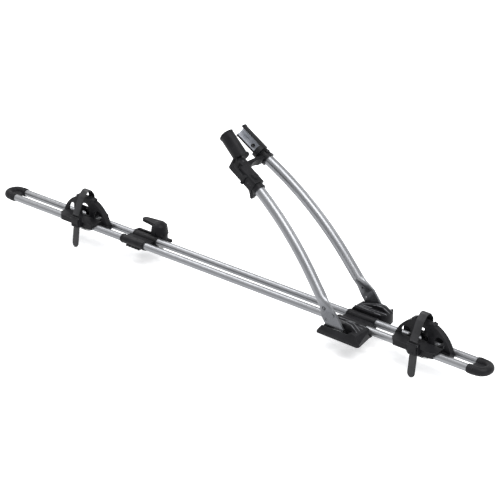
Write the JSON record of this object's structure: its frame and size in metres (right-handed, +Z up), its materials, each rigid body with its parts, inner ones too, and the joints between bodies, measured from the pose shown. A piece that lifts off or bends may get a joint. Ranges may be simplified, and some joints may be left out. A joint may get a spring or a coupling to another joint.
{
  "type": "roof mounted bike carrier",
  "caption": "Roof bike carrier: twin rails on bar feet, folding curved arms with frame-clamp jaws, sliding wheel holders with ratchet straps.",
  "frame": {"origin": "centre of the front foot's rubber seat, on the top of the front load bar", "axes": "+X along the rails towards the bicycle's front wheel, +Y to the far side, +Z up"},
  "size_m": [1.49, 0.1674, 0.428],
  "materials": {
    "anodised_tube": "satin anodised",
    "black_plastic": "fine moulded grain",
    "black_rubber": "matt rubber",
    "grey_liner": "soft grey rubber",
    "zinc_steel": "zinc plated",
    "black_steel": "blackened",
    "brass": "turned brass",
    "strap_webbing": "moulded ribbed strap"
  },
  "bodies": {
    "rack": {"rail_tube_near": "anodised_tube", "rail_tube_far": "anodised_tube", "end_cap_rear": "black_plastic", "end_cap_front": "black_plastic", "front_foot_base": "black_plastic", "front_hood_near": "black_plastic", "front_hood_far": "black_plastic", "front_bar_pad": "black_rubber", "front_t_bolts": "zinc_steel", "front_t_bolt_nuts": "zinc_steel", "front_foot_screws": "zinc_steel", "pivot_brackets": "zinc_steel", "arm_pivot_bolts": "zinc_steel", "arm_pivot_nuts": "zinc_steel", "pivot_washers": "zinc_steel"},
    "arm": {"pivot_bushes": "black_plastic", "arm_tube_near": "anodised_tube", "arm_tube_far": "anodised_tube", "blade_rivets": "zinc_steel", "head_bridge": "black_plastic", "far_jaw_shell": "black_plastic", "far_jaw_liner": "grey_liner", "jaw_liner_screw": "zinc_steel", "clamp_housing": "black_plastic", "housing_screws": "black_steel", "near_jaw_pin": "black_steel", "lever_pin": "black_steel", "trigger_pin": "black_steel", "trigger_spring": "zinc_steel"},
    "near_jaw": {"near_jaw_shell": "black_plastic", "near_jaw_liner": "grey_liner"},
    "clamp_lever": {"clamp_lever": "black_plastic"},
    "lock": {"lock_cylinder": "black_plastic"},
    "trigger": {"release_trigger": "black_plastic"},
    "rear_foot": {"rear_foot_base": "black_plastic", "rear_bar_pad": "black_rubber"},
    "rear_knob": {"rear_clamp_knob": "black_plastic", "knob_insert": "brass"},
    "rear_bolt": {"rear_t_bolt": "zinc_steel"},
    "rear_holder": {"wheel_tray_rear": "black_plastic", "tray_clamp_plate_rear": "zinc_steel", "tray_clamp_screws_rear": "zinc_steel", "strap_anchor_pin_rear": "zinc_steel", "wheel_strap_rear": "strap_webbing", "buckle_base_rear": "black_plastic", "buckle_pin_rear": "zinc_steel"},
    "rear_buckle": {"buckle_lever_rear": "black_plastic"},
    "front_holder": {"wheel_tray_front": "black_plastic", "tray_clamp_plate_front": "zinc_steel", "tray_clamp_screws_front": "zinc_steel", "strap_anchor_pin_front": "zinc_steel", "wheel_strap_front": "strap_webbing", "buckle_base_front": "black_plastic", "buckle_pin_front": "zinc_steel"},
    "front_buckle": {"buckle_lever_front": "black_plastic"}
  },
  "joints": [
    {"name": "arm_hinge", "type": "hinge", "parent": "rack", "child": "arm", "pos_m": [0.0019, 0, 0.014], "axis": [0, 1, 0], "range_deg": [-35, 45]},
    {"name": "near_jaw_hinge", "type": "hinge", "parent": "arm", "child": "near_jaw", "pos_m": [-0.30925, -0.03743, 0.31688], "axis": [0.4928, 0.0174, 0.8699], "range_deg": [-14, 28]},
    {"name": "clamp_lever_hinge", "type": "hinge", "parent": "arm", "child": "clamp_lever", "pos_m": [-0.27822, -0.06326, 0.29982], "axis": [0.4928, 0.0174, 0.8699], "range_deg": [0, 70]},
    {"name": "lock_turn", "type": "hinge", "parent": "arm", "child": "lock", "pos_m": [-0.26108, -0.04528, 0.30538], "axis": [0.4928, 0.0174, 0.8699], "range_deg": [0, 90]},
    {"name": "trigger_pull", "type": "hinge", "parent": "arm", "child": "trigger", "pos_m": [-0.25659, -0.0474, 0.26472], "axis": [0.0476, 0.9978, -0.0469], "range_deg": [0, 6], "stiffness_Nm_per_rad": 0.6, "springref_deg": -2.86},
    {"name": "rear_foot_slide", "type": "slide", "parent": "rack", "child": "rear_foot", "axis": [1, 0, 0], "range_m": [-0.025, 0.03]},
    {"name": "rear_knob_turn", "type": "hinge", "parent": "rear_foot", "child": "rear_knob", "pos_m": [-0.6365, 0.04, 0.0258], "axis": [0, 0, 1], "range_deg": [-720, 360]},
    {"name": "rear_bolt_lift", "type": "slide", "parent": "rear_foot", "child": "rear_bolt", "axis": [0, 0, 1], "range_m": [-0.0011, 0.0021]},
    {"name": "rear_holder_slide", "type": "slide", "parent": "rack", "child": "rear_holder", "axis": [1, 0, 0], "range_m": [-0.15, 0.01]},
    {"name": "rear_buckle_hinge", "type": "hinge", "parent": "rear_holder", "child": "rear_buckle", "pos_m": [-0.8435, -0.0435, 0.0352], "axis": [-1, 0, 0], "range_deg": [0, 110]},
    {"name": "front_holder_slide", "type": "slide", "parent": "rack", "child": "front_holder", "axis": [1, 0, 0], "range_m": [-0.03, 0.05]},
    {"name": "front_buckle_hinge", "type": "hinge", "parent": "front_holder", "child": "front_buckle", "pos_m": [0.1825, -0.0435, 0.0352], "axis": [-1, 0, 0], "range_deg": [0, 110]}
  ],
  "couplings": [
    {"joint": "rear_bolt_lift", "follows": "rear_knob_turn", "m_per_rad": -0.00015915}
  ]
}
